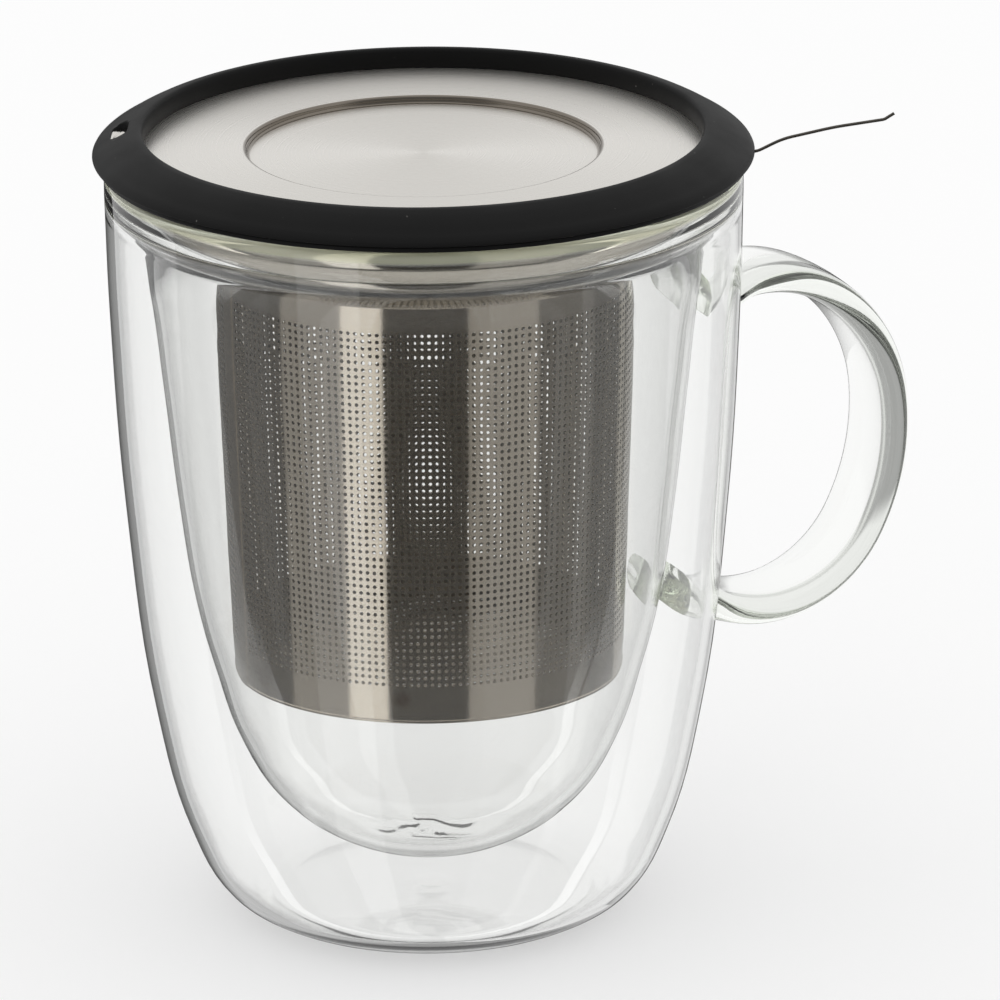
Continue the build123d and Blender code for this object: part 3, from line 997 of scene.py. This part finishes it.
def build_welds():
    """Four dished spot-weld marks."""
    radius = 0.62 * MM
    bm = bmesh.new()
    for place in weld_places():
        outward = Vector((*place.xy, 0.0)).normalized()
        turn = UP.rotation_difference(outward).to_matrix().to_4x4()
        made = bmesh.ops.create_circle(bm, cap_ends=True, segments=20, radius=radius)["verts"]
        cap = list({f for v in made for f in v.link_faces})
        ridge = bmesh.ops.inset_region(bm, faces=cap, thickness=0.16 * MM, depth=0.07 * MM)
        dish = bmesh.ops.inset_region(bm, faces=cap, thickness=0.18 * MM, depth=-0.05 * MM)
        button = set(made)
        for faces in (ridge["faces"], dish["faces"], cap):
            button |= {v for f in faces for v in f.verts}
        bmesh.ops.transform(bm, matrix=Matrix.Translation(place) @ turn, verts=list(button))
    mesh = crisp_mesh(bm, "welds", 60)
    show_piece("spot_weld_marks", mesh, "infuser", "basket_steel", rolled_sheet_steel, "spot_welds")


def build_collar():
    """The spun collar: a round-bellied ring that fills the mouth, under a flat flange."""
    sheet = infuser_settings().collar_sheet
    belly_depth = 1.9 * MM
    widest = 42.5 * MM
    bend = 0.55 * MM
    steps = 24
    flange = box_radius("basket_collar")
    throat = box_radius("basket_wall")
    bore = throat - infuser_settings().sheet
    top = box_high("basket_collar")
    low = box_low("basket_collar")
    belly_top = top - belly_depth
    belly_reach = widest - throat
    belly_height = belly_top - low
    outside, inside = [], []
    for step in range(steps + 1):
        angle = radians(-90 + 90 * step / steps)
        for side, wall in ((outside, 0.0), (inside, sheet)):
            radius = throat + (belly_reach - wall) * cos(angle)
            side.append(Vector((radius, 0.0, belly_top + (belly_height - wall) * sin(angle))))
    lower_bend = arc((widest + bend, top - sheet - bend), bend, 180, 90, 5)
    upper_bend = arc((widest + bend, top - sheet - bend), bend + sheet, 90, 180, 5)
    edge = arc((flange - sheet / 2, top - sheet / 2), sheet / 2, -90, 90, 6)
    foot = [Vector((bore, 0.0, low + sheet)), Vector((bore, 0.0, low))]
    line = [*outside, *lower_bend, *edge, *upper_bend, *reversed(inside), *foot]
    bm = bmesh.new()
    turn_skin(bm, line, MANY_FACES, closed=True)
    show_piece(
        "basket_collar_spun", crisp_mesh(bm, "collar", 50), "infuser", "polished_steel", spun_bright_steel,
        "basket_collar",
    )


def build_infuser_ring():
    """The thin soft ring over the flange's edge."""
    bore = 43.4
    clear = 0.02
    low = box_low("infuser_ring") / MM
    high = box_high("infuser_ring") / MM
    outside = box_radius("infuser_ring") / MM
    flange = box_radius("basket_collar") / MM + clear
    flange_top = box_high("basket_collar") / MM
    outline = [
        (bore, flange_top), (bore, high), (outside, high), (outside, low), (flange, low),
        (flange, flange_top),
    ]
    bm = bmesh.new()
    turn_skin(bm, round_corners(outline, 0.25), SOME_FACES, closed=True)
    mesh = crisp_mesh(bm, "infuser_ring", 60)
    show_piece("infuser_ring_soft", mesh, "infuser", "black_silicone", moulded_silicone, "infuser_ring")


def build_lid_plate():
    """The pressed lid disc: a round recess, and the tongue and drain hole that show in the ring's window."""
    settings = lid_settings()
    top = box_high("lid_plate") / MM
    sheet = settings.plate / MM
    depth = settings.recess_depth / MM
    recess = settings.recess_radius / MM
    edge = box_radius("lid_plate") / MM
    corner = 0.34
    crest = settings.crest_radius / MM + 0.2
    upper = [
        (0.0, top - depth), (recess - 6.0, top - depth), (recess - 1.0, top - depth),
        (recess - corner - 0.18, top - depth + 0.01), (recess - corner, top - depth + 0.12),
        (recess - 0.1, top - 0.12), (recess + 0.12, top - 0.01), (recess + 1.0, top),
        (recess + 8.0, top), (crest, top), (crest + 0.6, top), (edge, top),
    ]
    upper_line = straight(upper[:3]) + smooth_line(upper[2:8], 5)[1:] + straight(upper[8:])
    lower_line = [Vector((p.x, 0.0, p.z - sheet * MM)) for p in reversed(upper_line)]
    bm = bmesh.new()
    turn_skin(bm, upper_line + lower_line, SOME_FACES)
    mesh = crisp_mesh(bm, "lid_plate", 50)
    drill = bmesh.new()
    bmesh.ops.create_cone(
        drill, cap_ends=True, segments=24, radius1=DRAIN_RADIUS * MM, radius2=DRAIN_RADIUS * MM,
        depth=8 * settings.plate,
    )
    turn = radians(DRAIN_ANGLE)
    place = Vector((WINDOW_RADIUS * cos(turn), WINDOW_RADIUS * sin(turn), top)) * MM
    bmesh.ops.translate(drill, verts=drill.verts[:], vec=place)
    tongue = window_block((top - sheet / 2) * MM, (top + 1.25) * MM, 0.04)
    mesh = combine(combine(mesh, tongue, "UNION"), crisp_mesh(drill, "drain", 60), "DIFFERENCE")
    show_piece("lid_plate_brushed", mesh, "lid", "brushed_steel", round_brushed_steel, "lid_plate")


def window_block(low, high, set_back=0.0):
    """An upright block with round ends, as large as the lid ring's window or set back from it all round."""
    bm = bmesh.new()
    radius = (WINDOW_WIDTH / 2 - set_back) * MM
    made = bmesh.ops.create_circle(bm, cap_ends=True, segments=32, radius=radius)["verts"]
    stretch = (WINDOW_LENGTH - WINDOW_WIDTH) * MM / 2
    for vertex in made:
        vertex.co.y += stretch if vertex.co.y > 0 else -stretch
    raised = bmesh.ops.extrude_face_region(bm, geom=bm.faces[:])
    lifted = [g for g in raised["geom"] if isinstance(g, bmesh.types.BMVert)]
    bmesh.ops.translate(bm, verts=lifted, vec=UP * (high - low))
    turned = Matrix.Rotation(radians(WINDOW_ANGLE), 4, "Z")
    moved = Matrix.Translation((WINDOW_RADIUS * MM, 0.0, low))
    bmesh.ops.transform(bm, matrix=turned @ moved, verts=bm.verts[:])
    bmesh.ops.recalc_face_normals(bm, faces=bm.faces[:])
    return crisp_mesh(bm, "window", 40)


def build_lid_ring():
    """The soft lid ring: domed on top, with a crest at the plate and a skirt that stands in the collar."""
    settings = lid_settings()
    inset = 0.03
    high = box_high("lid_ring") / MM
    foot = box_low("lid_ring") / MM
    reach = box_radius("lid_ring") / MM - inset
    seat = box_high("infuser_ring") / MM + 0.1
    plate_top = box_high("lid_plate") / MM
    plate_low = plate_top - settings.plate / MM
    plate_edge = box_radius("lid_plate") / MM
    crest = settings.crest_radius / MM
    dome = smooth_line([
        (crest, high - 0.45), (crest + 0.25, high - 0.1), (crest + 0.9, high), (42.2, high - 0.25),
        (44.2, high - 1.15), (45.9, high - 2.15), (47.1, high - 2.95), (reach - 0.05, high - 3.5),
        (reach, high - 3.75), (reach - 0.12, seat + 0.12), (reach - 0.35, seat),
    ], 5)
    under = straight([
        (41.75, seat), (41.6, seat - 0.15), (41.4, foot + 0.1), (41.3, foot), (crest + 0.1, foot),
        (crest, foot + 0.1), (crest, plate_low), (plate_edge, plate_low), (plate_edge, plate_top),
        (crest + 0.12, plate_top), (crest, plate_top + 0.12),
    ])
    bm = bmesh.new()
    turn_skin(bm, dome + under, MANY_FACES, closed=True)
    mesh = crisp_mesh(bm, "lid_ring", 45)
    mesh = combine(mesh, window_block((plate_top + 0.01) * MM, (high + 1.0) * MM), "DIFFERENCE")
    show_piece("lid_ring_soft", mesh, "lid", "black_silicone", moulded_silicone, "lid_ring")


def dress_wire():
    """The lift wire keeps its own shape and gets its finish."""
    wire = frame["nodes"]["lift_wire"]
    wire.data.materials.clear()
    wire.data.materials.append(material_of(drawn_spring_wire))


def place_camera():
    """The camera stands where the photograph was taken from."""
    turn, tilt = radians(CAMERA_TURN), radians(CAMERA_TILT)
    ahead = Vector((-sin(turn) * cos(tilt), cos(turn) * cos(tilt), -sin(tilt)))
    right = ahead.cross(UP).normalized()
    above = right.cross(ahead)
    roll = radians(CAMERA_ROLL)
    leaning = above * cos(roll) + right * sin(roll)
    side = ahead.cross(leaning)
    data = bpy.data.cameras.new("camera")
    data.lens = CAMERA_LENS
    data.sensor_width = 36.0
    data.clip_start, data.clip_end = 0.05, 50.0
    camera = bpy.data.objects.new("camera", data)
    bpy.context.scene.collection.objects.link(camera)
    facing = Matrix((side, leaning, -ahead)).transposed().to_4x4()
    camera.matrix_world = Matrix.Translation(CAMERA_PLACE) @ facing
    bpy.context.scene.camera = camera


def card_level(tree, bearing, cards):
    """Brightness at a bearing: the brightest card there, or the dim room."""
    levels = [ROOM_LEVEL]
    for middle, width, brightness in cards:
        aside = add_node(tree, "ShaderNodeMath", {0: bearing, 1: middle}, operation="SUBTRACT").outputs[0]
        away = add_node(tree, "ShaderNodeMath", {0: aside}, operation="ABSOLUTE").outputs[0]
        levels.append(add_node(
            tree, "ShaderNodeMapRange",
            {0: away, 1: width / 2 - CARD_EDGE, 2: width / 2 + CARD_EDGE, 3: brightness, 4: 0.0},
            interpolation_type="SMOOTHSTEP",
        ).outputs[0])
    return extreme(tree, "MAXIMUM", *levels)


def ray_heading(tree):
    """Where a ray goes: degrees to the camera's right, degrees to either side, and degrees above level."""
    direction = add_node(tree, "ShaderNodeTexCoord").outputs["Generated"]
    camera_bearing = atan2(CAMERA_PLACE[1], CAMERA_PLACE[0])
    faced = add_node(
        tree, "ShaderNodeVectorRotate", {"Vector": direction, "Angle": -camera_bearing},
        rotation_type="Z_AXIS",
    ).outputs[0]
    x, y, z = add_node(tree, "ShaderNodeSeparateXYZ", {0: faced}).outputs
    turned = add_node(tree, "ShaderNodeMath", {0: y, 1: x}, operation="ARCTAN2").outputs[0]
    raised = add_node(tree, "ShaderNodeMath", {0: z}, operation="ARCSINE").outputs[0]
    bearing = add_node(tree, "ShaderNodeMath", {0: turned}, operation="DEGREES").outputs[0]
    aside = add_node(tree, "ShaderNodeMath", {0: bearing}, operation="ABSOLUTE").outputs[0]
    lift = add_node(tree, "ShaderNodeMath", {0: raised}, operation="DEGREES").outputs[0]
    return bearing, aside, lift


def wall_level(tree, bearing, aside, lift, crossed):
    """Brightness that the glass shows: its own cards inside the walls, and outside them the room."""
    low = add_node(
        tree, "ShaderNodeMapRange", {0: lift, 1: LOW_FADE[0], 2: LOW_FADE[1], 3: 1.0, 4: 0.0},
    ).outputs[0]
    streaks = add_node(
        tree, "ShaderNodeMath", {0: low, 1: card_level(tree, bearing, STREAK_CARDS)}, operation="MULTIPLY",
    ).outputs[0]
    behind = add_node(
        tree, "ShaderNodeMapRange", {0: aside, 1: TABLE_SIDES[0], 2: TABLE_SIDES[1], 3: 0.0, 4: TABLE_LEVEL},
    ).outputs[0]
    sunk = add_node(
        tree, "ShaderNodeMapRange", {0: lift, 1: TABLE_FADE[0], 2: TABLE_FADE[1], 3: 1.0, 4: 0.0},
    ).outputs[0]
    table = add_node(tree, "ShaderNodeMath", {0: behind, 1: sunk}, operation="MULTIPLY").outputs[0]
    cards = card_level(tree, bearing, STEEL_CARDS + BACK_CARDS)
    room = extreme(tree, "MAXIMUM", streaks, cards, table)
    one_wall, three_walls = (
        add_node(tree, "ShaderNodeMath", {0: crossed, 1: faces, 2: 0.5}, operation="COMPARE").outputs[0]
        for faces in (2.0, 6.0)
    )
    carried = extreme(tree, "MAXIMUM", one_wall, three_walls)
    bowl_low = add_node(
        tree, "ShaderNodeMath", {0: low, 1: UNDER_BOWL_LEVEL}, operation="MULTIPLY",
    ).outputs[0]
    under_bowl = add_node(
        tree, "ShaderNodeMath", {0: three_walls, 1: bowl_low}, operation="MULTIPLY",
    ).outputs[0]
    in_walls = extreme(tree, "MAXIMUM", card_level(tree, bearing, WALL_CARDS), under_bowl)
    return add_node(tree, "ShaderNodeMix", {0: carried, 2: room, 3: in_walls}).outputs[0]


def studio_level(tree, path):
    """Brightness of the studio towards a mirrored ray's end: cards all round, a pale dome above them."""
    bearing, aside, lift = ray_heading(tree)
    crossed = path["Transmission Depth"]
    passed_on = add_node(
        tree, "ShaderNodeMath", {0: path["Glossy Depth"], 1: 1.5}, operation="GREATER_THAN",
    ).outputs[0]
    steel = add_node(
        tree, "ShaderNodeMix",
        {0: passed_on, 2: card_level(tree, bearing, STEEL_CARDS), 3: SCATTERED_LEVEL},
    ).outputs[0]
    walls = wall_level(tree, bearing, aside, lift, crossed)
    behind_glass = add_node(tree, "ShaderNodeMath", {0: crossed, 1: 6.5}, operation="GREATER_THAN").outputs[0]
    level = add_node(tree, "ShaderNodeMix", {0: behind_glass, 2: walls, 3: steel}).outputs[0]
    low_dome = add_node(
        tree, "ShaderNodeMapRange",
        {0: aside, 1: CAMERA_SIDES[0], 2: CAMERA_SIDES[1], 3: CAMERA_SIDE_LEVEL, 4: DOME_LEVEL},
        interpolation_type="SMOOTHSTEP",
    ).outputs[0]
    dome = add_node(
        tree, "ShaderNodeMapRange", {0: lift, 1: DOME_TOP[0], 2: DOME_TOP[1], 3: low_dome, 4: DOME_LEVEL},
        interpolation_type="SMOOTHSTEP",
    ).outputs[0]
    return add_node(
        tree, "ShaderNodeMapRange", {0: lift, 1: DOME_FOOT[0], 2: DOME_FOOT[1], 3: level, 4: dome},
        interpolation_type="SMOOTHSTEP",
    ).outputs[0]


def seen_straight(tree):
    """1 for rays that a camera, clear glass or matte stuff sends out, 0 for rays that something mirrored."""
    path = add_node(tree, "ShaderNodeLightPath").outputs
    unmirrored = add_node(
        tree, "ShaderNodeMath", {0: path["Glossy Depth"], 1: 0.5}, operation="LESS_THAN",
    ).outputs[0]
    through_glass = add_node(
        tree, "ShaderNodeMath", {0: path["Is Transmission Ray"], 1: unmirrored}, operation="MULTIPLY",
    ).outputs[0]
    shown = extreme(tree, "MAXIMUM", path["Is Camera Ray"], path["Is Diffuse Ray"], through_glass)
    return shown, path


def build_world():
    """White to the camera, through glass and as plain light; a studio of cards to whatever mirrors it."""
    world = bpy.data.worlds.new("studio")
    world.use_nodes = True
    tree = world.node_tree
    tree.nodes.clear()
    straight_on, path = seen_straight(tree)
    level = add_node(tree, "ShaderNodeMix", {0: straight_on, 2: studio_level(tree, path), 3: 1.0}).outputs[0]
    sky = add_node(tree, "ShaderNodeBackground", {"Color": WHITE, "Strength": level})
    add_node(tree, "ShaderNodeOutputWorld", {"Surface": sky.outputs[0]})
    world.cycles.sampling_method = "NONE"
    bpy.context.scene.world = world


def pale_floor():
    """Matte white studio board: it keeps the mug's soft shadow, shows white through glass, isn't mirrored."""
    settings = stage_settings()
    grain_size = 3.3 * MM
    camera_glow = 0.5
    glass_glow = 0.85
    material, tree, shader, output = new_material("white_studio_board")
    shader.inputs["Roughness"].default_value = 1.0
    shader.inputs["Specular IOR Level"].default_value = 0.0
    place, _ = object_axes(tree)
    grain = add_node(tree, "ShaderNodeTexNoise", {"Vector": place, "Scale": 1.0 / grain_size}).outputs[0]
    shade = darkened(tree, grain, settings.floor_shade, 0.995)
    tree.links.new(shade, shader.inputs["Base Color"])
    straight_on, path = seen_straight(tree)
    shown = shader.outputs[0]
    glows = (("Is Camera Ray", camera_glow, 1.03), ("Is Transmission Ray", glass_glow, 1.0))
    for ray, share, strength in glows:
        glow = add_node(tree, "ShaderNodeEmission", {"Color": WHITE, "Strength": strength})
        amount = add_node(tree, "ShaderNodeMath", {0: path[ray], 1: share}, operation="MULTIPLY").outputs[0]
        shown = add_node(tree, "ShaderNodeMixShader", {0: amount, 1: shown, 2: glow.outputs[0]}).outputs[0]
    passed = add_node(tree, "ShaderNodeBsdfTransparent").outputs[0]
    chosen = add_node(tree, "ShaderNodeMixShader", {0: straight_on, 1: passed, 2: shown}).outputs[0]
    tree.links.new(chosen, output.inputs["Surface"])
    return material


def build_floor():
    """The round studio board, a hair below the mug's base."""
    below = 0.02 * MM
    bm = bmesh.new()
    bmesh.ops.create_circle(bm, cap_ends=True, segments=96, radius=stage_settings().floor_radius)
    bmesh.ops.translate(bm, verts=bm.verts[:], vec=UP * -below)
    mesh = bpy.data.meshes.new("floor")
    bm.to_mesh(mesh)
    bm.free()
    mesh.materials.append(pale_floor())
    floor = bpy.data.objects.new("floor", mesh)
    bpy.context.scene.collection.objects.link(floor)
    floor.visible_glossy = False


class TEAMUG_OT_glass(bpy.types.Operator):
    """Build the fused glass body with its handle"""

    bl_idname = "teamug.glass"
    bl_label = "Glass Body"

    def execute(self, context):
        build_glass()
        return {"FINISHED"}


class TEAMUG_OT_basket(bpy.types.Operator):
    """Build the perforated basket with its floor, seam and welds"""

    bl_idname = "teamug.basket"
    bl_label = "Perforated Basket"

    def execute(self, context):
        build_basket_wall()
        build_seam()
        build_floor_disc()
        build_floor_rim()
        build_welds()
        return {"FINISHED"}


class TEAMUG_OT_collar(bpy.types.Operator):
    """Build the spun collar, its soft ring and the lift wire"""

    bl_idname = "teamug.collar"
    bl_label = "Collar, Ring and Wire"

    def execute(self, context):
        build_collar()
        build_infuser_ring()
        dress_wire()
        return {"FINISHED"}


class TEAMUG_OT_lid(bpy.types.Operator):
    """Build the brushed lid plate and its soft ring"""

    bl_idname = "teamug.lid"
    bl_label = "Lid"

    def execute(self, context):
        build_lid_plate()
        build_lid_ring()
        return {"FINISHED"}


class TEAMUG_OT_stage(bpy.types.Operator):
    """Build the pale floor, the studio light and the camera"""

    bl_idname = "teamug.stage"
    bl_label = "Studio"

    def execute(self, context):
        place_camera()
        build_world()
        build_floor()
        context.scene.view_settings.view_transform = "Standard"
        # Light crosses eight faces of glass on its way through, and is mirrored many times in the fused roots
        context.scene.cycles.max_bounces = 30
        context.scene.cycles.glossy_bounces = 14
        context.scene.cycles.transmission_bounces = 16
        return {"FINISHED"}


OPERATORS = (TEAMUG_OT_glass, TEAMUG_OT_basket, TEAMUG_OT_collar, TEAMUG_OT_lid, TEAMUG_OT_stage)
GROUPS = {
    "tea_mug_glass": GlassSettings,
    "tea_mug_infuser": InfuserSettings,
    "tea_mug_lid": LidSettings,
    "tea_mug_stage": StageSettings,
}


class TEAMUG_PT_panel(bpy.types.Panel):
    """Buttons for the mug's pieces"""

    bl_idname = "TEAMUG_PT_panel"
    bl_label = "Tea Mug"
    bl_space_type = "VIEW_3D"
    bl_region_type = "UI"
    bl_category = "Tea Mug"

    def draw(self, context):
        for operator in OPERATORS:
            self.layout.operator(operator.bl_idname)
        for name, group in GROUPS.items():
            box = self.layout.box()
            for setting in group.__annotations__:
                box.prop(getattr(context.scene, name), setting)


def register():
    for group in GROUPS.values():
        bpy.utils.register_class(group)
    for name, group in GROUPS.items():
        setattr(bpy.types.Scene, name, PointerProperty(type=group))
    for operator in OPERATORS:
        bpy.utils.register_class(operator)
    bpy.utils.register_class(TEAMUG_PT_panel)


def unregister():
    bpy.utils.unregister_class(TEAMUG_PT_panel)
    for operator in reversed(OPERATORS):
        bpy.utils.unregister_class(operator)
    for name in GROUPS:
        delattr(bpy.types.Scene, name)
    for group in reversed(GROUPS.values()):
        bpy.utils.unregister_class(group)


def main():
    register()
    bpy.ops.teamug.stage()
    bpy.ops.teamug.glass()
    bpy.ops.teamug.basket()
    bpy.ops.teamug.collar()
    bpy.ops.teamug.lid()


if __name__ == "__main__":
    main()
